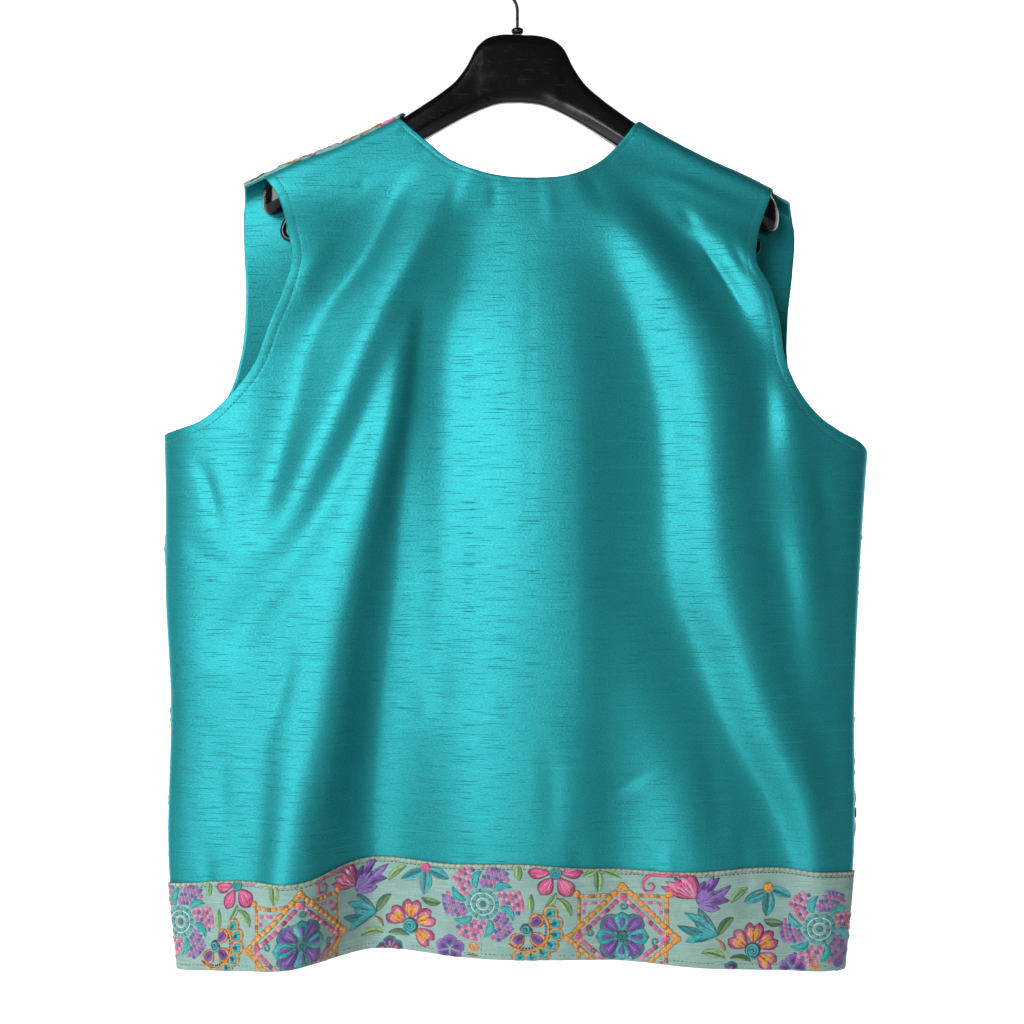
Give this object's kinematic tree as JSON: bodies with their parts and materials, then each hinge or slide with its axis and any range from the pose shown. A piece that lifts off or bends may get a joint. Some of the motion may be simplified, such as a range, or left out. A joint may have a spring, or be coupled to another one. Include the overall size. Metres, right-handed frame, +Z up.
{
  "type": "embroidered waistcoat on a coat hanger",
  "caption": "Sleeveless waistcoat with embroidered fronts and hem band and a plain satin back, hanging open at neck, armholes and hem on a moulded hanger.",
  "frame": {"origin": "inner top of the hook, where it rests on a rail", "axes": "+Z up; the back faces -Y and the fronts face +Y; +X is to the right as seen from behind"},
  "size_m": [0.5781, 0.1081, 0.8389],
  "materials": {
    "dupion_satin": "lustrous turquoise slub satin",
    "embroidered_cloth": "grey-green plain weave with raised satin-stitch flowers",
    "lining_satin": "turquoise satin lining",
    "hanger_plastic": "black moulded plastic, lightly scuffed",
    "hook_wire": "black coated steel wire"
  },
  "bodies": {
    "root": {"back_panel": "dupion_satin", "back_hem_band": "embroidered_cloth", "front_left": "embroidered_cloth", "front_right": "embroidered_cloth", "front_lining_left": "lining_satin", "front_lining_right": "lining_satin", "hanger_body": "hanger_plastic", "hanger_bar": "hanger_plastic", "hanger_collar": "hanger_plastic", "hanger_hook": "hook_wire"}
  },
  "joints": []
}
